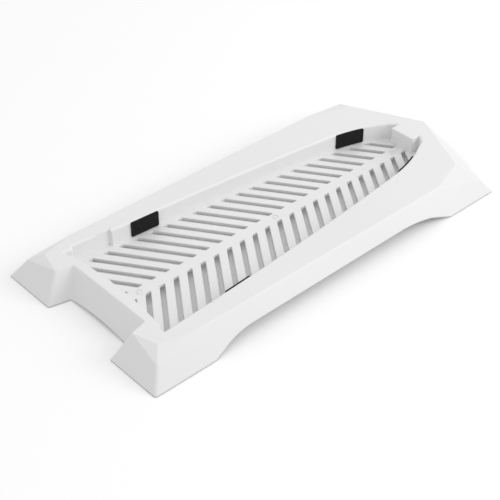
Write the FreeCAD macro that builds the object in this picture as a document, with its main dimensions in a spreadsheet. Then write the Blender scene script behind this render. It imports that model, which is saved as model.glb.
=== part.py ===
import FreeCAD, Part
import math
import os
import re
import Sketcher
from FreeCAD import Placement, Rotation, Vector

# A stand that holds a game console upright: a low moulded shell with a long recess, whose floor is
# a field of chevron vents. The console stands in the recess between four cushion pads, and the shell
# stands on four rubber feet. Y runs from the front feet to the rear point, X across, Z up.
# While it is built the shell's own Y starts at the front feet and its Z at the shell's lower rim.
# The finished pieces are then placed with the middle of the length at the origin, on the floor.

doc = FreeCAD.newDocument("console_stand")
sheet = doc.addObject("Spreadsheet::Sheet", "Sizes")

SIZES = (
    ("length", 318.0, "front feet to rear point, at the base"),
    ("base_width", 143.6, "across the feet, at the base"),
    ("plateau_height", 18.2, "flat top above the lower rim"),
    ("wall", 2.4, "thickness of the outer walls and the flat top"),
    ("side_run", 11.8, "how far a side wall leans in over its height"),
    ("front_run", 11.7, "how far the front faces lean back over their height"),
    ("rear_run", 16.7, "how far the rear point leans forward over its height"),
    ("rear_corner_inset", 26.7, "rear corners in front of the rear point"),
    ("rim_radius", 0.8, "rounding of the outer edges"),
    ("foot_edge_radius", 2.2, "rounding of the upright edges of the feet"),
    ("front_facet_inset", 17.1, "corner of the front facets on the flat top, from the side at the base"),
    ("front_facet_y", 16.4, "the same corner, from the front"),
    ("front_facet_end", 40.3, "where the front side facet meets the side edge"),
    ("front_facet_drop", 5.1, "how far the front facets reach down the corner"),
    ("rear_facet_inset", 22.0, "corner of the rear facets on the flat top, from the side at the base"),
    ("rear_facet_back", 41.4, "the same corner, from the rear point at the base"),
    ("rear_facet_reach", 72.0, "where the rear side facet leaves the side edge, from the rear point"),
    ("rear_facet_drop", 7.6, "how far the rear facets reach down the corner"),
    ("notch_half_front", 30.4, "half the gap between the front feet, at the base"),
    ("notch_half_back", 27.3, "half of it at the back of the notch, at the base"),
    ("notch_depth", 14.4, "depth of the notch at the base"),
    ("notch_back_run", 8.9, "how far the back of the notch leans back"),
    ("notch_side_run", 7.4, "how far its corners lean outward"),
    ("notch_corner_radius", 1.4, "rounding of the notch's inner corners"),
    ("arch_start", 44.6, "where a side wall's raised edge leaves the floor"),
    ("arch_rise_y", 57.5, "where its climb begins to level"),
    ("arch_rise_z", 4.2, "its height there"),
    ("arch_front_via_y", 65.6, "a point of the levelling curve"),
    ("arch_front_via_z", 5.9, "its height there"),
    ("arch_front_y", 78.0, "where it runs straight"),
    ("arch_front_z", 6.8, "its height there"),
    ("arch_rear_back", 115.0, "where it begins to fall, from the rear point"),
    ("arch_rear_z", 7.6, "its height there"),
    ("arch_rear_via_back", 96.0, "a point of the falling curve, from the rear point"),
    ("arch_rear_via_z", 6.7, "its height there"),
    ("arch_fall_back", 85.0, "where it falls straight, from the rear point"),
    ("arch_fall_z", 5.0, "its height there"),
    ("arch_end_back", 69.0, "where it meets the floor again, from the rear point"),
    ("front_arch_height", 1.8, "rise of the notch wall's lower edge"),
    ("rear_arch_half", 46.0, "half the width of the rear arch"),
    ("rear_arch_run", 12.0, "length of each of its slopes"),
    ("rear_arch_height", 6.0, "height of the rear arch"),
    ("floor_height", 5.9, "vent floor above the lower rim"),
    ("floor_thickness", 2.4, "thickness of the vent floor"),
    ("well_wall", 2.2, "thickness of the recess walls"),
    ("lip_y", 30.8, "back edge of the front lip, at the middle"),
    ("lip_inset", 5.5, "from the recess's side wall to the end of the lip, where the corner pocket begins"),
    ("lip_side_y", 27.6, "the lip's back edge there"),
    ("lip_corner_radius", 1.0, "upright rounding of the lip's ends"),
    ("pocket_inset", 3.4, "from the side wall to where the corner pocket is deepest"),
    ("pocket_y", 25.8, "front of the corner pocket"),
    ("front_rail", 11.7, "flat top beside the recess at its front"),
    ("slot_front_y", 25.9, "front end of the recess's side walls"),
    ("mid_rail", 18.64, "flat top beside it midway along its side walls"),
    ("slot_rear_x", 30.3, "half width where the walls turn in"),
    ("slot_rear_back", 79.8, "that place, from the rear point"),
    ("bend_x", 27.5, "a point of the turn"),
    ("bend_back", 65.8, "the same point, from the rear point"),
    ("taper_x", 23.1, "half width where the straight taper begins"),
    ("taper_back", 52.8, "that place, from the rear point"),
    ("taper_end_x", 15.6, "half width where the taper ends"),
    ("taper_end_back", 37.6, "that place, from the rear point"),
    ("ear_x", 11.5, "rear end of the groove beside the stop block"),
    ("ear_back", 33.7, "the same, from the rear point"),
    ("block_half", 9.6, "half width of the stop block"),
    ("block_back", 40.1, "front face of the stop block, from the rear point"),
    ("block_corner_radius", 1.2, "upright rounding of its front corners"),
    ("relief_depth", 2.4, "depth of the relief in the left wall"),
    ("relief_start", 33.0, "front end of the relief"),
    ("relief_end", 60.8, "rear end of the relief"),
    ("relief_corner_radius", 2.0, "upright rounding of the wall in front of the relief"),
    ("slot_rim_radius", 1.6, "rounding of the recess's upper edge along its walls"),
    ("lip_radius", 0.5, "rounding of the lip and of the stop block"),
    ("vent_pitch", 10.8, "from one vent to the next, along the spine"),
    ("vent_first", 40.55, "inner rear corner of the first vent"),
    ("vent_width", 4.2, "width of a vent along Y"),
    ("vent_slope", 0.70, "fall of a vent towards the front, per unit of X"),
    ("vent_corner", 0.8, "chamfer of a vent's sharp corners"),
    ("spine_half", 3.9, "half width of the strip between the vents"),
    ("vent_margin", 2.9, "vent field to the recess wall"),
    ("mark_radius", 2.2, "outer radius of an ejector mark"),
    ("mark_inner_radius", 1.3, "its inner radius"),
    ("mark_depth", 0.2, "depth of an ejector mark"),
    ("mark_first", 44.9, "first ejector mark, from the front"),
    ("mark_pitch", 112.2, "from one ejector mark to the next"),
    ("rib_thickness", 1.8, "thickness of a stiffening rib"),
    ("rib_pitch", 38.0, "from one rib to the next"),
    ("rib_first", 66.0, "first rib, from the front"),
    ("rib_bottom", 12.8, "lower edge of a rib above the rim"),
    ("pad_thickness", 1.1, "thickness of a cushion pad"),
    ("pad_length", 20.8, "length of a cushion pad"),
    ("pad_height", 11.0, "height of a cushion pad"),
    ("pad_raise", 0.6, "pad above the vent floor"),
    ("pad_corner_radius", 0.8, "rounding of a pad's corners"),
    ("front_pad_y", 85.4, "middle of the front pads"),
    ("rear_pad_back", 64.6, "middle of the rear pads, from the rear point"),
    ("foot_proud", 0.4, "rubber foot below the shell's rim"),
    ("foot_radius", 6.0, "radius of a rubber foot"),
    ("foot_thickness", 1.6, "thickness of a rubber foot"),
    ("spigot_radius", 2.9, "radius of a rubber foot's spigot"),
    ("spigot_length", 4.0, "length of its spigot"),
    ("spigot_clearance", 0.1, "spigot to the bore of its boss"),
    ("boss_radius", 7.0, "radius of a boss that holds a rubber foot"),
    ("front_foot_inset", 18.8, "front rubber feet, from the side at the base"),
    ("front_foot_y", 16.6, "front rubber feet, from the front"),
    ("rear_foot_inset", 15.8, "rear rubber feet, from the side at the base"),
    ("rear_foot_back", 49.0, "rear rubber feet, from the rear point"),
)

for row, (alias, value, meaning) in enumerate(SIZES, start=1):
    sheet.set(f"A{row}", alias)
    sheet.set(f"B{row}", str(value))
    sheet.setAlias(f"B{row}", alias)
    sheet.set(f"C{row}", meaning)
doc.recompute()

ALIASES = {alias for alias, value, meaning in SIZES}

SAME_PLACE = 0.01
ON_SURFACE = 0.001


def cells(text):
    """An expression with its sizes named as cells of the sheet."""
    return re.sub(r"\b[a-z_]+\b", lambda found: ("Sizes." if found[0] in ALIASES else "") + found[0], text)


def number(text):
    """What an expression in the sizes comes to."""
    return float(sheet.evalExpression(cells(text)))


# Sketches and solids


def plane_of(body, role):
    """One of a body's own origin planes."""
    return next(item for item in body.Origin.OriginFeatures if item.Role == role)


def negative(corner):
    """A corner mirrored across the middle line."""
    return tuple(f"-({text})" if place % 2 == 0 else text for place, text in enumerate(corner))


def whole(half):
    """Both halves of an outline whose right half runs from the front to the rear.

    An arc belongs to the corner that it leads to, so on the way back it belongs to the one before."""
    left = []
    for index in range(len(half) - 1, -1, -1):
        if half[index][0] == "0":
            continue
        via = half[index + 1][2:] if index + 1 < len(half) else ()
        left.append(negative(half[index][:2] + via))
    return half + left


def bind(sketch, item, end, across, along):
    """Ties a point of a sketch to two sizes."""
    for kind, text in (("DistanceX", across), ("DistanceY", along)):
        place = sketch.addConstraint(Sketcher.Constraint(kind, item, end, number(text)))
        sketch.setExpression(f"Constraints[{place}]", cells(text))


def spot(across, along):
    return Vector(number(across), number(along), 0)


def outline(body, name, corners, height="0", role="XY_Plane"):
    """A closed outline. A corner is its two coordinates, and two more for a point of the arc to it."""
    sketch = body.newObject("Sketcher::SketchObject", name)
    sketch.AttachmentSupport = (plane_of(body, role), [""])
    sketch.MapMode = "FlatFace"
    sketch.setExpression("AttachmentOffset.Base.z", cells(height))
    ends = []
    for index, corner in enumerate(corners):
        before = spot(*corners[index - 1][:2])
        here = spot(*corner[:2])
        if len(corner) == 4:
            sketch.addGeometry(Part.Arc(before, spot(*corner[2:]), here), False)
        else:
            sketch.addGeometry(Part.LineSegment(before, here), False)
        forward = sketch.getPoint(index, 1).distanceToPoint(before) < sketch.getPoint(index, 2).distanceToPoint(before)
        ends.append((1, 2) if forward else (2, 1))
    for index, corner in enumerate(corners):
        after = (index + 1) % len(corners)
        sketch.addConstraint(Sketcher.Constraint("Coincident", index, ends[index][1], after, ends[after][0]))
        bind(sketch, index, ends[index][1], *corner[:2])
        if len(corner) == 4:
            point = sketch.addGeometry(Part.Point(spot(*corner[2:])), True)
            sketch.addConstraint(Sketcher.Constraint("PointOnObject", point, 1, index))
            bind(sketch, point, 1, *corner[2:])
    return sketch


def pad_over(name, corners, bottom, height, role="XY_Plane", both_ways=False):
    """A straight solid over an outline."""
    body = doc.addObject("PartDesign::Body", name)
    pad = body.newObject("PartDesign::Pad", name + "_pad")
    pad.Profile = outline(body, name + "_outline", corners, bottom, role)
    pad.setExpression("Length", cells(height))
    pad.Midplane = both_ways
    body.Tip = pad
    doc.recompute()
    return body


def loft_between(name, low, high, top):
    """A solid with flat walls between an outline at the rim and one at a height."""
    body = doc.addObject("PartDesign::Body", name)
    loft = body.newObject("PartDesign::AdditiveLoft", name + "_loft")
    loft.Profile = outline(body, name + "_low", low)
    loft.Sections = [outline(body, name + "_high", high, top)]
    loft.Ruled = True
    body.Tip = loft
    doc.recompute()
    return body


def joined(kind, name, base, tool):
    """A boolean of two objects."""
    result = doc.addObject("Part::" + kind, name)
    result.Base = base
    result.Tool = tool
    doc.recompute()
    return result


def united(name, members):
    """A union of many objects."""
    result = doc.addObject("Part::MultiFuse", name)
    result.Shapes = members
    doc.recompute()
    return result


def reflected(name, source):
    """The same solid on the other side of the middle line."""
    result = doc.addObject("Part::Mirroring", name)
    result.Source = source
    result.Normal = Vector(1, 0, 0)
    doc.recompute()
    return result


def box(name, length, width, height, x, y, z):
    """A block from its lowest corner."""
    block = doc.addObject("Part::Box", name)
    for prop, text in (("Length", length), ("Width", width), ("Height", height)):
        block.setExpression(prop, cells(text))
    for axis, text in (("x", x), ("y", y), ("z", z)):
        block.setExpression(f"Placement.Base.{axis}", cells(text))
    return block


def cylinder(name, radius, height, x, y, z):
    """An upright round bar from the middle of its lower end."""
    bar = doc.addObject("Part::Cylinder", name)
    bar.setExpression("Radius", cells(radius))
    bar.setExpression("Height", cells(height))
    for axis, text in (("x", x), ("y", y), ("z", z)):
        bar.setExpression(f"Placement.Base.{axis}", cells(text))
    return bar


def rounded(name, base, choices, kind="Fillet"):
    """Fillets or chamfers. Each choice is a radius and a test that picks its edges."""
    result = doc.addObject("Part::" + kind, name)
    result.Base = base
    picked = []
    for index, edge in enumerate(base.Shape.Edges, start=1):
        radius = next((number(text) for text, wanted in choices if wanted(edge)), None)
        if radius:
            picked.append((index, radius, radius))
    result.Edges = picked
    doc.recompute()
    return result


def ends_of(edge):
    return [vertex.Point for vertex in edge.Vertexes]


def near(value, text):
    return abs(value - number(text)) < SAME_PLACE


# Outer form of the shell, which leans in from the rim to the flat top

REAR_SLOPE = "(rear_corner_inset / (base_width / 2))"
NOTCH_SPREAD = "((notch_half_front - notch_half_back) / notch_depth)"
NOTCH_LEAN = f"((notch_side_run + {NOTCH_SPREAD} * notch_back_run) / plateau_height)"


def level(thickness, *slopes):
    """How far apart the two faces of a sloping wall are when measured along an axis."""
    squares = " + ".join(f"{slope}^2" for slope in slopes)
    return f"({thickness} * sqrt(1 + {squares}))"


def section(share, thickness):
    """Right half of the shell's outline at a share of its height, moved in by a wall's thickness."""
    in_notch_y = level(thickness, "(notch_back_run / plateau_height)")
    in_notch_x = level(thickness, NOTCH_SPREAD, NOTCH_LEAN)
    in_front = level(thickness, "(front_run / plateau_height)")
    in_side = level(thickness, "(side_run / plateau_height)")
    in_rear = level(thickness, REAR_SLOPE, "(rear_run / plateau_height)")
    front = f"(front_run * {share} + {in_front})"
    side = f"(base_width / 2 - side_run * {share} - {in_side})"
    rear = f"(length - rear_run * {share} - {in_rear})"
    corner_y = f"(notch_depth + notch_back_run * {share})"
    corner_x = f"(notch_half_back + notch_side_run * {share})"
    notch_y = f"({corner_y} + {in_notch_y})"
    return [
        (f"{corner_x} + {NOTCH_SPREAD} * ({corner_y} - {notch_y}) + {in_notch_x}", notch_y),
        (f"{corner_x} + {NOTCH_SPREAD} * ({corner_y} - {front}) + {in_notch_x}", front),
        (side, front),
        (side, f"{rear} - {REAR_SLOPE} * {side}"),
        ("0", rear),
    ]


# Facets that cut the corners of the flat top

CORNERS_LOW = section("0", "0")
CORNERS_HIGH = section("1", "0")
NOTCH_CORNER = 1
FRONT_CORNER = 2
REAR_CORNER = 3
REAR_POINT = 4


def top_point(across, along):
    return Vector(number(across), number(along), number("plateau_height"))


def edge_point(corner, drop):
    """A point of the upright edge at a corner, below the flat top."""
    low = spot(*CORNERS_LOW[corner])
    high = top_point(*CORNERS_HIGH[corner])
    return high + (low - high) * (number(drop) / number("plateau_height"))


def facets():
    """Three points of each facet on the right, turning so that its normal points outward."""
    side = CORNERS_HIGH[FRONT_CORNER][0]
    front_corner = top_point("base_width / 2 - front_facet_inset", "front_facet_y")
    front_low = edge_point(FRONT_CORNER, "front_facet_drop")
    rear_corner = top_point("base_width / 2 - rear_facet_inset", "length - rear_facet_back")
    rear_low = edge_point(REAR_CORNER, "rear_facet_drop")
    return {
        "front": (top_point(*CORNERS_HIGH[NOTCH_CORNER]), front_low, front_corner),
        "front_side": (front_corner, front_low, top_point(side, "front_facet_end")),
        "rear_side": (top_point(side, "length - rear_facet_reach"), rear_low, rear_corner),
        "rear": (rear_corner, rear_low, top_point(*CORNERS_HIGH[REAR_POINT])),
    }


def facet_block(name, points, inset, side):
    """A large block that lies outside a facet's plane, moved in by the inset."""
    first, second, third = [Vector(side * point.x, point.y, point.z) for point in points]
    normal = (second - first).cross(third - first) * side
    normal.normalize()
    block = box(name, "length * 2", "length * 2", "plateau_height * 2", "0", "0", "0")
    for axis in "xyz":
        block.setExpression(f"Placement.Base.{axis}", None)
    turn = Rotation(Vector(0, 0, 1), normal)
    middle = turn.multVec(Vector(number("length"), number("length"), 0))
    block.Placement = Placement(first - normal * number(inset) - middle, turn)
    return block


def faceted(solid, label, inset):
    """A solid with its eight facets cut."""
    for name, points in facets().items():
        for side, hand in ((1, "right"), (-1, "left")):
            block = facet_block(f"{label}_{name}_{hand}_block", points, inset, side)
            solid = joined("Cut", f"{label}_{name}_{hand}", solid, block)
    return solid


def is_upright(edge):
    """An edge that climbs from the rim at a corner of a foot."""
    heights = [point.z for point in ends_of(edge)]
    return near(min(heights), "0") and not near(max(heights), "0")


def is_foot_edge(edge):
    """An upright edge away from the rear point, whose foot the rear arch takes away."""
    return is_upright(edge) and not any(near(point.x, "0") for point in ends_of(edge))


def is_notch_corner(edge):
    """The upright edge in an inner corner of the notch."""
    return is_upright(edge) and any(
        near(abs(point.x), "notch_half_back") and near(point.y, "notch_depth") for point in ends_of(edge)
    )


def is_above_rim(edge):
    return not near(min(point.z for point in ends_of(edge)), "0")


def runs_up(edge):
    first, last = ends_of(edge)
    return math.hypot(first.x - last.x, first.y - last.y) < SAME_PLACE


def upright_at(across, along):
    """A test for the vertical edges at a corner of the plan, on either side of the middle line."""

    def found(edge):
        place = edge.Vertexes[0].Point
        return runs_up(edge) and near(abs(place.x), across) and near(place.y, along)

    return found


def outer_form():
    solid = loft_between("outer_walls", whole(CORNERS_LOW), whole(CORNERS_HIGH), "plateau_height")
    solid = faceted(solid, "outer", "0")
    choices = (
        ("notch_corner_radius", is_notch_corner),
        ("foot_edge_radius", is_foot_edge),
        ("rim_radius", is_above_rim),
    )
    return rounded("outer_form", solid, choices)


def cavity_form():
    """The hollow under the shell."""
    share = "(1 - wall / plateau_height)"
    solid = loft_between(
        "cavity_walls", whole(section("0", "wall")), whole(section(share, "wall")), "plateau_height - wall"
    )
    return faceted(solid, "inner", "wall")


# Raised lower edges between the feet


def side_arch():
    corners = [
        ("arch_start", "-wall"),
        ("arch_start", "0"),
        ("arch_rise_y", "arch_rise_z"),
        ("arch_front_y", "arch_front_z", "arch_front_via_y", "arch_front_via_z"),
        ("length - arch_rear_back", "arch_rear_z"),
        ("length - arch_fall_back", "arch_fall_z", "length - arch_rear_via_back", "arch_rear_via_z"),
        ("length - arch_end_back", "0"),
        ("length - arch_end_back", "-wall"),
    ]
    return pad_over("side_arch", corners, "0", "base_width * 2", "YZ_Plane", True)


def notch_arch():
    corners = [
        ("-notch_half_back", "0"),
        ("notch_half_back", "0", "0", "front_arch_height"),
        ("notch_half_back", "-wall"),
        ("-notch_half_back", "-wall"),
    ]
    return pad_over("notch_arch", corners, "0", "(notch_depth + notch_back_run) * 2", "XZ_Plane", True)


def rear_arch():
    corners = [
        ("-rear_arch_half", "-wall"),
        ("-rear_arch_half", "0"),
        ("-rear_arch_half + rear_arch_run", "rear_arch_height"),
        ("rear_arch_half - rear_arch_run", "rear_arch_height"),
        ("rear_arch_half", "0"),
        ("rear_arch_half", "-wall"),
    ]
    reach = "(rear_corner_inset + rear_run) * 2"
    return pad_over("rear_arch", corners, "-length", reach, "XZ_Plane", True)


# The recess that the console stands in

SLOT_FRONT_X = "(base_width / 2 - side_run - front_rail)"
SLOT_MID_X = "(base_width / 2 - side_run - mid_rail)"
SLOT_MID_Y = "((slot_front_y + length - slot_rear_back) / 2)"
LIP_SIDE_X = f"({SLOT_FRONT_X} - lip_inset)"
BLOCK_Y = "(length - block_back)"


def recess_outline(grow):
    """Right half of the recess, from the lip to the stop block, moved out by a distance."""
    return whole([
        (LIP_SIDE_X, f"lip_side_y - {grow}", "0", f"lip_y - {grow}"),
        (f"{SLOT_FRONT_X} - pocket_inset", f"pocket_y - {grow}"),
        (f"{SLOT_FRONT_X} + {grow}", f"slot_front_y - {grow}"),
        (f"slot_rear_x + {grow}", "length - slot_rear_back", f"{SLOT_MID_X} + {grow}", SLOT_MID_Y),
        (f"taper_x + {grow}", "length - taper_back", f"bend_x + {grow}", "length - bend_back"),
        (f"taper_end_x + {grow}", "length - taper_end_back"),
        (f"ear_x + {grow}", f"length - ear_back + {grow}"),
        (f"block_half - {grow}", f"length - ear_back + {grow}"),
        (f"block_half - {grow}", f"{BLOCK_Y} + {grow}"),
    ])


def recess_solid(name, grow, bottom, top):
    return pad_over(name, recess_outline(grow), bottom, f"{top} - ({bottom})")


def beside_left_wall(name, solid, margin):
    """The stretch of a solid that lies along the relief in the left wall."""
    cut = box(
        name + "_stretch", "base_width / 2", f"relief_end - relief_start + 2 * {margin}", "plateau_height * 3",
        "-base_width / 2", f"relief_start - {margin}", "-plateau_height",
    )
    return joined("Common", name, solid, cut)


def well():
    """Walls and floor of the recess before it is hollowed."""
    bottom = "floor_height - floor_thickness"
    top = "plateau_height - wall / 2"
    main = recess_solid("well_walls", "well_wall", bottom, top)
    wide = recess_solid("well_relief_walls", "(well_wall + relief_depth)", bottom, top)
    return joined("Fuse", "well", main, beside_left_wall("well_relief", wide, "well_wall"))


def is_relief_corner(edge):
    """The vertical edge where the left wall turns into the relief, at its front end."""
    place = edge.Vertexes[0].Point
    inner = number(f"{SLOT_FRONT_X} + relief_depth / 2")
    return runs_up(edge) and near(place.y, "relief_start") and abs(place.x) < inner


def recess():
    """The hollow of the recess, with the relief in its left wall."""
    top = "plateau_height + wall"
    main = recess_solid("recess_main", "0", "floor_height", top)
    wide = recess_solid("recess_wide", "relief_depth", "floor_height", top)
    hollow = joined("Fuse", "recess_sharp", main, beside_left_wall("recess_relief", wide, "0"))
    choices = (
        ("lip_corner_radius", upright_at(LIP_SIDE_X, "lip_side_y")),
        ("block_corner_radius", upright_at("block_half", BLOCK_Y)),
        ("relief_corner_radius", is_relief_corner),
    )
    return rounded("recess", hollow, choices)


# Chevron vents in the floor of the recess

VENTS = f"(floor(({BLOCK_Y} + vent_width - vent_first) / vent_pitch) + 1)"
MARKS = f"(floor(({BLOCK_Y} - mark_radius - mark_first) / mark_pitch) + 1)"


def vent_field():
    """Where the vents may open: the recess less a margin along its walls."""
    taper = "((taper_x - taper_end_x) / (taper_back - taper_end_back))"
    corners = whole([
        (f"{SLOT_FRONT_X} - vent_margin", "lip_side_y + vent_margin", "0", "lip_y + vent_margin"),
        ("slot_rear_x - vent_margin", "length - slot_rear_back", f"{SLOT_MID_X} - vent_margin", SLOT_MID_Y),
        ("taper_x - vent_margin", "length - taper_back", "bend_x - vent_margin", "length - bend_back"),
        (f"taper_end_x + {taper} * (block_back - taper_end_back) - vent_margin", BLOCK_Y),
    ])
    return pad_over("vent_field", corners, "-wall", "plateau_height")


def vent_rows():
    """Slanting strips, one for each vent on the right, longer than the field is wide."""
    body = doc.addObject("PartDesign::Body", "vent_rows")
    body.AllowCompound = True
    fall = f"vent_slope * ({SLOT_FRONT_X} - spine_half)"
    corners = [
        ("spine_half", "vent_first - vent_width"),
        (SLOT_FRONT_X, f"vent_first - vent_width - {fall}"),
        (SLOT_FRONT_X, f"vent_first - {fall}"),
        ("spine_half", "vent_first"),
    ]
    strip = body.newObject("PartDesign::Pad", "vent_strip")
    strip.Profile = outline(body, "vent_outline", corners, "-wall")
    strip.setExpression("Length", cells("plateau_height"))
    body.Tip = strip
    doc.recompute()
    rows = body.newObject("PartDesign::LinearPattern", "vent_pattern")
    rows.Originals = [strip]
    rows.Direction = (strip.Profile[0], ["V_Axis"])
    rows.setExpression("Occurrences", cells(VENTS))
    rows.setExpression("Length", cells(f"vent_pitch * ({VENTS} - 1)"))
    body.Tip = rows
    doc.recompute()
    return body


def vents():
    """Vents on both sides. Their sharp corners are chamfered, where the sides are long enough for it."""
    sharp = joined("Common", "vents_sharp", vent_rows(), vent_field())

    def is_corner(edge):
        corner = edge.Vertexes[0]
        meeting = sharp.Shape.ancestorsOfType(corner, Part.Edge)
        sides = [side for side in meeting if not side.isSame(edge)]
        far = [end for side in sides for end in ends_of(side) if (end - corner.Point).Length > SAME_PLACE]
        if not runs_up(edge) or min(side.Length for side in sides) < number("vent_width / 2"):
            return False
        return (far[0] - far[1]).Length < math.hypot(sides[0].Length, sides[1].Length)

    right = rounded("vents_right", sharp, (("vent_corner", is_corner),), "Chamfer")
    return right, reflected("vents_left", right)


def ejector_mark(index):
    """A shallow ring that an ejector pin of the mould leaves on the spine."""
    place = ("0", f"mark_first + mark_pitch * {index}", "floor_height - mark_depth")
    disc = cylinder(f"mark_{index}_disc", "mark_radius", "floor_thickness", *place)
    middle = cylinder(f"mark_{index}_middle", "mark_inner_radius", "floor_thickness", *place)
    return joined("Cut", f"mark_{index}", disc, middle)


def ejector_marks():
    return [ejector_mark(index) for index in range(int(number(MARKS)))]


# Ribs and bosses under the flat top

RIBS = "floor((length - rear_foot_back - rib_first) / rib_pitch)"


def ribs(cavity):
    members = [
        box(f"rib_{index}", "base_width", "rib_thickness", "plateau_height - rib_bottom", "-base_width / 2",
            f"rib_first + rib_pitch * {index}", "rib_bottom")
        for index in range(int(number(RIBS)))
    ]
    return joined("Common", "ribs", united("rib_blocks", members), cavity)


FEET = {
    "front_right": ("base_width / 2 - front_foot_inset", "front_foot_y"),
    "front_left": ("front_foot_inset - base_width / 2", "front_foot_y"),
    "rear_right": ("base_width / 2 - rear_foot_inset", "length - rear_foot_back"),
    "rear_left": ("rear_foot_inset - base_width / 2", "length - rear_foot_back"),
}
BOSS_BOTTOM = "foot_thickness - foot_proud"
BORE_DEPTH = "spigot_length + spigot_clearance"


def bosses(outer):
    members = [
        cylinder(f"boss_{name}", "boss_radius", f"plateau_height - wall / 2 - ({BOSS_BOTTOM})", x, y, BOSS_BOTTOM)
        for name, (x, y) in FEET.items()
    ]
    return joined("Common", "bosses", united("boss_bars", members), outer)


def bores():
    return [
        cylinder(f"bore_{name}", "spigot_radius + spigot_clearance", BORE_DEPTH, x, y, BOSS_BOTTOM)
        for name, (x, y) in FEET.items()
    ]


# The pieces


# The rear arch takes the rear point's foot away, so the stand ends a little before its base length.
MIDDLE = "(length - rear_run * rear_arch_height / plateau_height) / 2"


def place(piece, label, raised="foot_proud"):
    """Sets a finished piece in the stand's own frame and names it."""
    piece.Label = label
    piece.setExpression("Placement.Base.y", cells(f"-{MIDDLE}"))
    piece.setExpression("Placement.Base.z", cells(raised))
    doc.recompute()
    return piece


def on_flat_top(edge):
    return all(near(point.z, "plateau_height") for point in ends_of(edge))


def rim_edges(hollow):
    """Tests for the edges of the recess's mouth: along the front lip and the stop block, and along the walls."""

    def on_mouth(edge):
        middle = edge.valueAt((edge.FirstParameter + edge.LastParameter) / 2)
        return on_flat_top(edge) and hollow.Shape.distToShape(Part.Vertex(middle))[0] < ON_SURFACE

    def on_lip(edge):
        return on_mouth(edge) and max(point.y for point in ends_of(edge)) < number("lip_y")

    def on_block(edge):
        return on_mouth(edge) and max(abs(point.x) for point in ends_of(edge)) < number("(block_half + ear_x) / 2")

    return (("lip_radius", on_lip), ("lip_radius", on_block), ("slot_rim_radius", on_mouth))


def stand_body():
    """The moulded shell: sloping walls, flat top, recess with its vents, ribs and bosses."""
    outer = outer_form()
    cavity = cavity_form()
    shell = joined("Cut", "shell_hollow", outer, cavity)
    for arch in (side_arch(), notch_arch(), rear_arch()):
        shell = joined("Cut", "shell_over_" + arch.Name, shell, arch)
    shell = united("shell_full", [shell, well(), ribs(cavity), bosses(outer)])
    hollow = recess()
    shell = joined("Cut", "shell_open", shell, hollow)
    shell = rounded("shell_rim", shell, rim_edges(hollow))
    cutters = united("shell_cutters", [*vents(), *ejector_marks(), *bores()])
    shell = joined("Cut", "stand_body_shape", shell, cutters)
    return place(shell, "stand_body")


def side_pads():
    """Cushion pads on the recess walls, as thick as the gap between the wall and a smaller outline."""
    bottom = "floor_height + pad_raise"
    top = f"{bottom} + pad_height"
    wall_line = recess_solid("pad_outside", "0", bottom, top)
    face_line = recess_solid("pad_inside", "-pad_thickness", bottom, top)
    skin = joined("Cut", "pad_skin", wall_line, face_line)
    pads = []
    for end, middle in (("front", "front_pad_y"), ("rear", "length - rear_pad_back")):
        for side, x in (("right", "0"), ("left", "-base_width / 2")):
            name = f"side_pad_{end}_{side}"
            block = box(name + "_block", "base_width / 2", "pad_length", "pad_height",
                        x, f"{middle} - pad_length / 2", bottom)
            doc.recompute()
            block = rounded(name + "_rounded", block, (("pad_corner_radius", runs_across),))
            pads.append(place(joined("Common", name + "_shape", skin, block), name))
    return pads


def runs_across(edge):
    first, last = ends_of(edge)
    return abs(first.x - last.x) > SAME_PLACE


def rubber_feet():
    """Rubber feet whose spigots are pressed into the bosses."""
    feet = []
    for name, (x, y) in FEET.items():
        disc = cylinder(f"foot_{name}_disc", "foot_radius", "foot_thickness", x, y, "0")
        spigot = cylinder(f"foot_{name}_spigot", "spigot_radius", "spigot_length", x, y, "foot_thickness")
        foot = joined("Fuse", f"foot_{name}_shape", disc, spigot)
        feet.append(place(foot, f"rubber_foot_{name}", "0"))
    return feet


pieces = [stand_body(), *side_pads(), *rubber_feet()]

for item in doc.Objects:
    if "Invalid" in item.State or "Error" in item.State:
        raise RuntimeError(f"{item.Label} failed: {item.State}")

os.makedirs("parts", exist_ok=True)
for piece in pieces:
    if piece.Shape.isNull() or not piece.Shape.isValid() or len(piece.Shape.Solids) != 1:
        raise RuntimeError(f"{piece.Label} is not one sound solid")
    piece.Shape.exportStep(f"parts/{piece.Label}.step")
    print(piece.Label, round(piece.Shape.Volume), "mm3")
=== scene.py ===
import math

import bmesh
import bpy
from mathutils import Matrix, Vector


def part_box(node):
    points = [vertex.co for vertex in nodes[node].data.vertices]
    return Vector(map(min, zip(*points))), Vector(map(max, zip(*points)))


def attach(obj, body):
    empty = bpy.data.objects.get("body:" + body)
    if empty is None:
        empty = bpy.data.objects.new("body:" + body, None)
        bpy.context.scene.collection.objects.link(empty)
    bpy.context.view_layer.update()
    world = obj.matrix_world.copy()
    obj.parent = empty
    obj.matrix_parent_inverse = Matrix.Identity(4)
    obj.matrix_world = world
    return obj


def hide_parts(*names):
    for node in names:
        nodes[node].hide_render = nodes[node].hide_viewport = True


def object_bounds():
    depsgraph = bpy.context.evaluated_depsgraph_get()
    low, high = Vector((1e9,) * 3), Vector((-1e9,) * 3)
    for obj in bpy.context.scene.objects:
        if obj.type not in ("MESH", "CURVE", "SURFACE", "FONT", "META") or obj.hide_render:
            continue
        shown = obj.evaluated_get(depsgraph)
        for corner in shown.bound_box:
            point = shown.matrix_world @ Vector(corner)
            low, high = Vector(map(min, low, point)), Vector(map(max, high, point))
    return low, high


# A white moulded stand that holds a game console upright, on a plain pale floor in soft studio light.
# The shell, its recess and its vents are the frame's own solid. The foam pads on the recess walls and
# the rubber feet under the shell are built here, where the frame has plain blocks for them. A smooth
# skin over the rounding of the recess's upper edge is built here too.
# Lengths are in metres, in the frame's own axes: Y to the rear point, X to the right, Z up.

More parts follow.
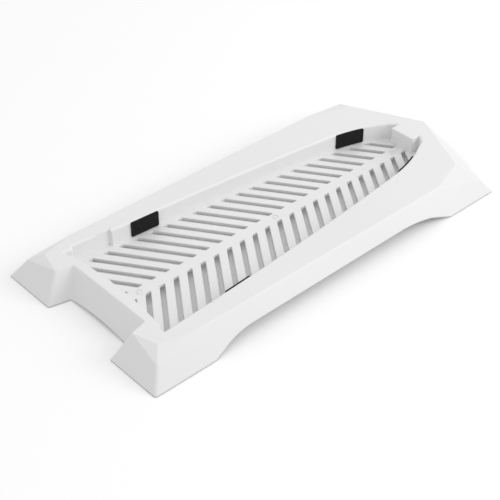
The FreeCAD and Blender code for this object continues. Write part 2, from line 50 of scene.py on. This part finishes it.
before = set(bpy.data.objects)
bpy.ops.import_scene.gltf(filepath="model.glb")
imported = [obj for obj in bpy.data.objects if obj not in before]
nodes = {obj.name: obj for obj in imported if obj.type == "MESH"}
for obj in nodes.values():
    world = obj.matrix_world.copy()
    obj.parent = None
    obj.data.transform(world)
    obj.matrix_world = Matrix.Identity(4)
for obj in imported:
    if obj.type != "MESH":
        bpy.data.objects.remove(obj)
frame_low, frame_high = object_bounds()

MM = 0.001


# Camera, at the photograph's viewing angle


CAMERA_AZIMUTH = math.radians(47.744)
CAMERA_ELEVATION = math.radians(38.106)
CAMERA_DISTANCE = 0.76464
CAMERA_TARGET = Vector((0.00911, -0.02921, 0.0004))
CAMERA_LENS = 86.741
CAMERA_SENSOR = 36.0
CAMERA_NEAREST = 0.01
CAMERA_FURTHEST = 50.0


def add_camera():
    """A camera that looks down at the stand from its front right."""
    back = Vector((
        math.sin(CAMERA_AZIMUTH) * math.cos(CAMERA_ELEVATION),
        -math.cos(CAMERA_AZIMUTH) * math.cos(CAMERA_ELEVATION),
        math.sin(CAMERA_ELEVATION),
    ))
    data = bpy.data.cameras.new("camera")
    data.sensor_width = CAMERA_SENSOR
    data.lens = CAMERA_LENS
    data.clip_start = CAMERA_NEAREST
    data.clip_end = CAMERA_FURTHEST
    camera = bpy.data.objects.new("camera", data)
    camera.location = CAMERA_TARGET + back * CAMERA_DISTANCE
    camera.rotation_euler = (-back).to_track_quat("-Z", "Y").to_euler()
    bpy.context.scene.collection.objects.link(camera)
    bpy.context.scene.camera = camera


# Materials


# Most of a noise's values lie between these two.
NOISE_LOW = 0.3
NOISE_HIGH = 0.7
# The Mix node has several sockets of one name. These are the ones for colours.
MIX_FIRST = 6
MIX_SECOND = 7
MIX_RESULT = 2
BEVEL_SAMPLES = 12

# Each colour varies between two shades of itself.
WHITE = ((0.872, 0.872, 0.873), (0.892, 0.893, 0.894))
FOAM_BLACK = ((0.007, 0.007, 0.008), (0.012, 0.012, 0.013))
RUBBER_BLACK = ((0.018, 0.018, 0.019), (0.034, 0.034, 0.034))
FOAM_SPECULAR = 0.25
SHELL_EDGE_RADIUS = 0.9 * MM


class Finish:
    """A material with a Principled shader, and short ways to add the nodes that feed it."""

    def __init__(self, name):
        self.material = bpy.data.materials.new(name)
        self.material.use_nodes = True
        self.tree = self.material.node_tree
        self.shader = self.tree.nodes["Principled BSDF"]
        self.place = self.tree.nodes.new("ShaderNodeTexCoord").outputs["Object"]

    def noise(self, size, detail=2.0):
        """Cloudy noise whose patches are about the given size across."""
        node = self.tree.nodes.new("ShaderNodeTexNoise")
        node.inputs["Scale"].default_value = 1.0 / size
        node.inputs["Detail"].default_value = detail
        self.tree.links.new(self.place, node.inputs["Vector"])
        return node.outputs["Fac"]

    def cells(self, size):
        """Distance to the middle of cells of the given size."""
        node = self.tree.nodes.new("ShaderNodeTexVoronoi")
        node.inputs["Scale"].default_value = 1.0 / size
        self.tree.links.new(self.place, node.inputs["Vector"])
        return node.outputs["Distance"]

    def spread(self, noise, low, high):
        """The usual range of a noise, stretched over another range."""
        node = self.tree.nodes.new("ShaderNodeMapRange")
        node.inputs["From Min"].default_value = NOISE_LOW
        node.inputs["From Max"].default_value = NOISE_HIGH
        node.inputs["To Min"].default_value = low
        node.inputs["To Max"].default_value = high
        self.tree.links.new(noise, node.inputs["Value"])
        return node.outputs["Result"]

    def bump(self, value, depth, strength, below=None):
        """A relief of the given depth, on the surface or on the relief below."""
        node = self.tree.nodes.new("ShaderNodeBump")
        node.inputs["Distance"].default_value = depth
        node.inputs["Strength"].default_value = strength
        self.tree.links.new(value, node.inputs["Height"])
        if below is not None:
            self.tree.links.new(below, node.inputs["Normal"])
        return node.outputs["Normal"]

    def soft_edges(self, radius):
        """Edges that catch light as if they were rounded."""
        node = self.tree.nodes.new("ShaderNodeBevel")
        node.samples = BEVEL_SAMPLES
        node.inputs["Radius"].default_value = radius
        return node.outputs["Normal"]

    def feed(self, socket, value):
        """Lets a value drive one of the shader's sockets."""
        self.tree.links.new(value, self.shader.inputs[socket])

    def tint(self, noise, first, second):
        """A colour that varies between two shades."""
        node = self.tree.nodes.new("ShaderNodeMix")
        node.data_type = "RGBA"
        node.inputs[MIX_FIRST].default_value = (*first, 1.0)
        node.inputs[MIX_SECOND].default_value = (*second, 1.0)
        self.tree.links.new(self.spread(noise, 0.0, 1.0), node.inputs["Factor"])
        self.feed("Base Color", node.outputs[MIX_RESULT])

    def roughen(self, noise, low, high):
        """A roughness that varies between two values."""
        self.feed("Roughness", self.spread(noise, low, high))


def white_plastic(name, edge_radius=None):
    """Satin moulded plastic: a very fine mould texture, and gloss that varies a little where it cooled."""
    finish = Finish(name)
    finish.tint(finish.noise(size=90 * MM), *WHITE)
    finish.roughen(finish.noise(size=22 * MM, detail=3.0), low=0.30, high=0.38)
    edges = finish.soft_edges(edge_radius) if edge_radius else None
    waves = finish.bump(finish.noise(size=14 * MM, detail=1.0), depth=0.05 * MM, strength=0.25, below=edges)
    grain = finish.bump(finish.noise(size=0.45 * MM), depth=0.02 * MM, strength=0.30, below=waves)
    finish.feed("Normal", grain)
    return finish.material


def black_foam():
    """Dull closed-cell foam with a fine skin of pores."""
    finish = Finish("black_foam")
    finish.tint(finish.noise(size=2.5 * MM), *FOAM_BLACK)
    finish.shader.inputs["Specular IOR Level"].default_value = FOAM_SPECULAR
    finish.roughen(finish.noise(size=1.2 * MM), low=0.80, high=0.96)
    pores = finish.bump(finish.cells(size=0.35 * MM), depth=0.08 * MM, strength=0.5)
    skin = finish.bump(finish.noise(size=0.9 * MM, detail=3.0), depth=0.06 * MM, strength=0.35, below=pores)
    finish.feed("Normal", skin)
    return finish.material


def black_rubber():
    """Soft rubber with a faint bloom and a fine matt texture."""
    finish = Finish("black_rubber")
    finish.tint(finish.noise(size=3.0 * MM, detail=3.0), *RUBBER_BLACK)
    finish.roughen(finish.noise(size=1.5 * MM), low=0.60, high=0.78)
    grain = finish.bump(finish.noise(size=0.3 * MM), depth=0.03 * MM, strength=0.4)
    finish.feed("Normal", grain)
    return finish.material


def dress(piece, material):
    """Gives a piece one material all over."""
    piece.data.materials.clear()
    piece.data.materials.append(material)


# New pieces


SHARP_ANGLE = math.radians(40)


def quarter_turn(steps):
    """The angles of a quarter turn in even steps, with both ends."""
    return [math.pi / 2 * step / steps for step in range(steps + 1)]


def smooth_mesh(name, mesh, sharp_angle=None):
    """A finished mesh with smooth shading, but for edges sharper than an angle where one is given."""
    bmesh.ops.recalc_face_normals(mesh, faces=mesh.faces)
    data = bpy.data.meshes.new(name)
    mesh.to_mesh(data)
    mesh.free()
    data.shade_smooth()
    if sharp_angle is not None:
        data.set_sharp_from_angle(angle=sharp_angle)
    return data


def new_piece(name, data, material):
    """A finished mesh as a piece of the stand."""
    piece = bpy.data.objects.new(name, data)
    bpy.context.scene.collection.objects.link(piece)
    dress(piece, material)
    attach(piece, "root")
    return piece


# Walls of the recess


def behind_front(distance):
    """The Y of a place so far behind the front feet."""
    return frame_low.y + distance


# The right wall in plan, as three points on each of its two arcs. The left wall mirrors it.
WALL_FRONT = (48.3 * MM, behind_front(25.9 * MM))
WALL_TURN = (30.3 * MM, behind_front(238.2 * MM))
WALL_REAR = (23.1 * MM, behind_front(265.2 * MM))
FRONT_WALL = (WALL_FRONT, (41.36 * MM, behind_front(132.05 * MM)), WALL_TURN)
REAR_WALL = (WALL_TURN, (27.5 * MM, behind_front(252.2 * MM)), WALL_REAR)


def circle_through(first, second, third):
    """Middle and radius of the circle through three points of a plane."""
    ax, ay = second[0] - first[0], second[1] - first[1]
    bx, by = third[0] - first[0], third[1] - first[1]
    cross = 2 * (ax * by - ay * bx)
    a_squared = ax * ax + ay * ay
    b_squared = bx * bx + by * by
    x = (by * a_squared - ay * b_squared) / cross
    y = (ax * b_squared - bx * a_squared) / cross
    return first[0] + x, first[1] + y, math.hypot(x, y)


def wall_half_width(wall, y):
    """Half width of the recess at a place along the stand."""
    middle_x, middle_y, radius = circle_through(*wall)
    return middle_x + math.sqrt(radius ** 2 - (y - middle_y) ** 2)


# Rounding of the recess's upper edge, which catches light in one even line


EDGE_RADIUS = 1.6 * MM
EDGE_ARC_STEPS = 10
EDGE_STEP = 3.0 * MM
# The skin stands this far proud of the wall and of the flat top, to cover the shell's own rounding.
EDGE_PROUD = 0.045 * MM
EDGE_LIFT = 0.02 * MM
# On the left it starts behind the wall's relief. On both sides it stops just short of the wall's end.
EDGE_START = {"right": behind_front(30.0 * MM), "left": behind_front(60.8 * MM)}
EDGE_TURN = WALL_TURN[1]
EDGE_END = WALL_REAR[1] - 0.6 * MM


def edge_section(wall, y, hand):
    """The rounding's outline at one place along a wall: its arc, and its middle inside the shell."""
    middle_x, middle_y, radius = circle_through(*wall)
    turn = math.asin((y - middle_y) / radius)
    middle_out = radius + EDGE_RADIUS
    middle_height = frame_high.z - EDGE_RADIUS
    outline = [(
        middle_out - (EDGE_RADIUS + EDGE_PROUD) * math.cos(rise),
        middle_height + (EDGE_RADIUS + EDGE_LIFT) * math.sin(rise),
    ) for rise in quarter_turn(EDGE_ARC_STEPS)]
    outline.append((middle_out, middle_height))
    return [(
        hand * (middle_x + out * math.cos(turn)),
        middle_y + out * math.sin(turn),
        height,
    ) for out, height in outline]


def add_edge(name, wall, start, end, hand, material):
    """A smooth quarter-round along a wall's upper edge. All but its arc is sunk in the shell."""
    steps = round((end - start) / EDGE_STEP)
    places = [start + (end - start) * step / steps for step in range(steps + 1)]
    mesh = bmesh.new()
    rings = [[mesh.verts.new(point) for point in edge_section(wall, y, hand)] for y in places]
    for before, after in zip(rings, rings[1:]):
        for index in range(len(before)):
            beside = (index + 1) % len(before)
            mesh.faces.new((before[index], before[beside], after[beside], after[index]))
    mesh.faces.new(rings[0])
    mesh.faces.new(rings[-1])
    new_piece(name, smooth_mesh(name, mesh, SHARP_ANGLE), material)


# Foam pads on the walls of the recess


PAD_THICKNESS = 1.1 * MM
PAD_CORNER = 0.8 * MM
PAD_CORNER_STEPS = 5
PAD_EDGE = 0.3 * MM
PAD_EDGE_STEPS = 4
PAD_STRIPS = 24
ROUND_PROFILE = 0.5


def round_off(mesh, edges, radius, steps):
    """Rounds some edges of a mesh."""
    bmesh.ops.bevel(mesh, geom=edges, offset=radius, segments=steps, profile=ROUND_PROFILE, affect="EDGES")


def flat_pad(length, height):
    """A pad on its back: length along X, height along Y, and rounded edges on its face at the top."""
    mesh = bmesh.new()
    bmesh.ops.create_cube(mesh, size=1.0)
    for vertex in mesh.verts:
        x, y, z = vertex.co
        vertex.co = Vector((x * length, y * height, (z + 0.5) * PAD_THICKNESS))
    half = PAD_THICKNESS / 2
    corners = [edge for edge in mesh.edges if abs(edge.verts[0].co.z - edge.verts[1].co.z) > half]
    round_off(mesh, corners, PAD_CORNER, PAD_CORNER_STEPS)
    face_edges = [edge for edge in mesh.edges if all(vertex.co.z > half for vertex in edge.verts)]
    round_off(mesh, face_edges, PAD_EDGE, PAD_EDGE_STEPS)
    for strip in range(1, PAD_STRIPS):
        cut = Vector(((strip / PAD_STRIPS - 0.5) * length, 0.0, 0.0))
        everything = [*mesh.verts, *mesh.edges, *mesh.faces]
        bmesh.ops.bisect_plane(mesh, geom=everything, plane_co=cut, plane_no=(1.0, 0.0, 0.0))
    return mesh


def add_pad(end, side, hand, wall, material):
    """A foam pad that follows the recess wall where the frame has its block."""
    name = f"foam_pad_{end}_{side}"
    node = f"side_pad_{end}_{side}"
    low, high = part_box(node)
    middle = (low + high) / 2
    mesh = flat_pad(high.y - low.y, high.z - low.z)
    for vertex in mesh.verts:
        along = middle.y + vertex.co.x
        out = wall_half_width(wall, along) - vertex.co.z
        vertex.co = Vector((hand * out, along, middle.z + vertex.co.y))
    piece = new_piece(name, smooth_mesh(name, mesh), material)
    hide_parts(node)


# Rubber feet


FOOT_SEGMENTS = 72
FOOT_THICKNESS = 1.6 * MM
FOOT_ROUNDING = 0.5 * MM
FOOT_ROUNDING_STEPS = 5
FOOT_CHAMFER = 0.15 * MM
SPIGOT_RADIUS = 2.9 * MM
SPIGOT_CHAMFER = 0.3 * MM
# The groove in its face: the depth, half the width of the groove's floor, and the width of each flank.
GROOVE_DEPTH = 0.35 * MM
GROOVE_HALF_WIDTH = 0.35 * MM
FLANK_WIDTH = 0.35 * MM
# Shares of the foot's radius.
GROOVE_PLACE = 0.62
DIMPLE_SIZE = 0.22
# The dimple's slope changes at these shares of its radius and of its depth.
DIMPLE_BEND = (0.6, 0.8)


def foot_profile(radius, top):
    """Radius and height of a rubber foot's outline, from the middle of its underside to its spigot's end."""
    groove = GROOVE_PLACE * radius
    dimple = DIMPLE_SIZE * radius
    rounding = [(
        radius - FOOT_ROUNDING * (1 - math.sin(angle)),
        FOOT_ROUNDING * (1 - math.cos(angle)),
    ) for angle in quarter_turn(FOOT_ROUNDING_STEPS)]
    return [
        (0.0, GROOVE_DEPTH),
        (dimple * DIMPLE_BEND[0], GROOVE_DEPTH * DIMPLE_BEND[1]),
        (dimple, 0.0),
        (groove - GROOVE_HALF_WIDTH - FLANK_WIDTH, 0.0),
        (groove - GROOVE_HALF_WIDTH, GROOVE_DEPTH),
        (groove + GROOVE_HALF_WIDTH, GROOVE_DEPTH),
        (groove + GROOVE_HALF_WIDTH + FLANK_WIDTH, 0.0),
        *rounding,
        (radius, FOOT_THICKNESS - FOOT_CHAMFER),
        (radius - FOOT_CHAMFER, FOOT_THICKNESS),
        (SPIGOT_RADIUS, FOOT_THICKNESS),
        (SPIGOT_RADIUS, top - SPIGOT_CHAMFER),
        (SPIGOT_RADIUS - SPIGOT_CHAMFER, top),
        (0.0, top),
    ]


def circle_points(x, y, radius, height):
    """Points around an upright axis, or the one point on it where the radius is nought."""
    if radius == 0.0:
        return [(x, y, height)]
    turns = [2 * math.pi * step / FOOT_SEGMENTS for step in range(FOOT_SEGMENTS)]
    return [(x + radius * math.cos(turn), y + radius * math.sin(turn), height) for turn in turns]


def turned(name, profile, x, y):
    """A solid of revolution about an upright axis."""
    mesh = bmesh.new()
    rings = [[mesh.verts.new(point) for point in circle_points(x, y, *corner)] for corner in profile]
    for lower, upper in zip(rings, rings[1:]):
        for step in range(FOOT_SEGMENTS):
            after = (step + 1) % FOOT_SEGMENTS
            corners = [ring[index % len(ring)] for ring, index in (
                (lower, step), (lower, after), (upper, after), (upper, step),
            )]
            mesh.faces.new(list(dict.fromkeys(corners)))
    return smooth_mesh(name, mesh, SHARP_ANGLE)


def add_foot(place, material):
    """A rubber foot with a groove and a dimple in the face that grips the table."""
    name = f"grip_foot_{place}"
    node = f"rubber_foot_{place}"
    low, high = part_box(node)
    middle = (low + high) / 2
    profile = foot_profile((high.x - low.x) / 2, high.z)
    piece = new_piece(name, turned(name, profile, middle.x, middle.y), material)
    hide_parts(node)


# Floor, world and lamp


FLOOR_SIZE = 12.0
FLOOR_SHADE = 0.55
FLOOR_GLOW = 0.10
PURE_WHITE = (1.0, 1.0, 1.0, 1.0)
SKY = 0.77
KEY_PLACE = (0.92, 0.82, 0.76)
KEY_POWER = 6.2
KEY_SIZE = 0.8


def seen_directly(tree):
    """One for what the camera sees, also in a reflection or through glass, and nought for other light."""
    path = tree.nodes.new("ShaderNodeLightPath")
    total = path.outputs["Is Camera Ray"]
    for name in ("Is Glossy Ray", "Is Transmission Ray"):
        most = tree.nodes.new("ShaderNodeMath")
        most.operation = "MAXIMUM"
        tree.links.new(total, most.inputs[0])
        tree.links.new(path.outputs[name], most.inputs[1])
        total = most.outputs["Value"]
    return total


def show_instead(tree, usual, shown):
    """A shader that the camera sees in place of the usual one, which all other light meets."""
    mix = tree.nodes.new("ShaderNodeMixShader")
    tree.links.new(seen_directly(tree), mix.inputs["Fac"])
    tree.links.new(usual, mix.inputs[1])
    tree.links.new(shown, mix.inputs[2])
    return mix.outputs["Shader"]


def floor_material():
    """A pale sheet that looks white and keeps the stand's shadow."""
    material = bpy.data.materials.new("pale_floor")
    material.use_nodes = True
    tree = material.node_tree
    tree.nodes.remove(tree.nodes["Principled BSDF"])
    plain = tree.nodes.new("ShaderNodeBsdfDiffuse")
    plain.inputs["Color"].default_value = (FLOOR_SHADE, FLOOR_SHADE, FLOOR_SHADE, 1.0)
    white = tree.nodes.new("ShaderNodeBsdfDiffuse")
    white.inputs["Color"].default_value = PURE_WHITE
    glow = tree.nodes.new("ShaderNodeEmission")
    glow.inputs["Strength"].default_value = FLOOR_GLOW
    both = tree.nodes.new("ShaderNodeAddShader")
    tree.links.new(white.outputs["BSDF"], both.inputs[0])
    tree.links.new(glow.outputs["Emission"], both.inputs[1])
    surface = show_instead(tree, plain.outputs["BSDF"], both.outputs["Shader"])
    tree.links.new(surface, tree.nodes["Material Output"].inputs["Surface"])
    return material


def add_floor():
    """The floor that the stand rests on, which reaches past the edges of the picture."""
    half = FLOOR_SIZE / 2
    mesh = bpy.data.meshes.new("floor")
    corners = [(-half, -half, 0.0), (half, -half, 0.0), (half, half, 0.0), (-half, half, 0.0)]
    mesh.from_pydata(corners, [], [(0, 1, 2, 3)])
    floor = bpy.data.objects.new("floor", mesh)
    bpy.context.scene.collection.objects.link(floor)
    floor.data.materials.append(floor_material())


def set_world():
    """An even pale sky, which the camera sees as plain white."""
    world = bpy.data.worlds.new("studio")
    bpy.context.scene.world = world
    world.use_nodes = True
    tree = world.node_tree
    sky = tree.nodes["Background"]
    sky.inputs["Color"].default_value = PURE_WHITE
    sky.inputs["Strength"].default_value = SKY
    white = tree.nodes.new("ShaderNodeBackground")
    white.inputs["Color"].default_value = PURE_WHITE
    surface = show_instead(tree, sky.outputs["Background"], white.outputs["Background"])
    tree.links.new(surface, tree.nodes["World Output"].inputs["Surface"])


def add_key_lamp():
    """A square soft box behind the stand, to its right, that faces the stand's middle."""
    data = bpy.data.lights.new("key", "AREA")
    data.shape = "SQUARE"
    data.size = KEY_SIZE
    data.energy = KEY_POWER
    lamp = bpy.data.objects.new("key", data)
    lamp.location = KEY_PLACE
    lamp.rotation_euler = (-Vector(KEY_PLACE)).to_track_quat("-Z", "Y").to_euler()
    bpy.context.scene.collection.objects.link(lamp)


# The whole scene


add_camera()
set_world()
add_floor()
add_key_lamp()

dress(nodes["stand_body"], white_plastic("white_plastic", SHELL_EDGE_RADIUS))

plastic = white_plastic("white_plastic_rounding")
foam = black_foam()
rubber = black_rubber()
for side, hand in (("right", 1.0), ("left", -1.0)):
    add_edge(f"recess_edge_long_{side}", FRONT_WALL, EDGE_START[side], EDGE_TURN, hand, plastic)
    add_edge(f"recess_edge_rear_{side}", REAR_WALL, EDGE_TURN, EDGE_END, hand, plastic)
    add_pad("front", side, hand, FRONT_WALL, foam)
    add_pad("rear", side, hand, REAR_WALL, foam)
    for end in ("front", "rear"):
        add_foot(f"{end}_{side}", rubber)

bpy.context.scene.view_settings.view_transform = "Standard"
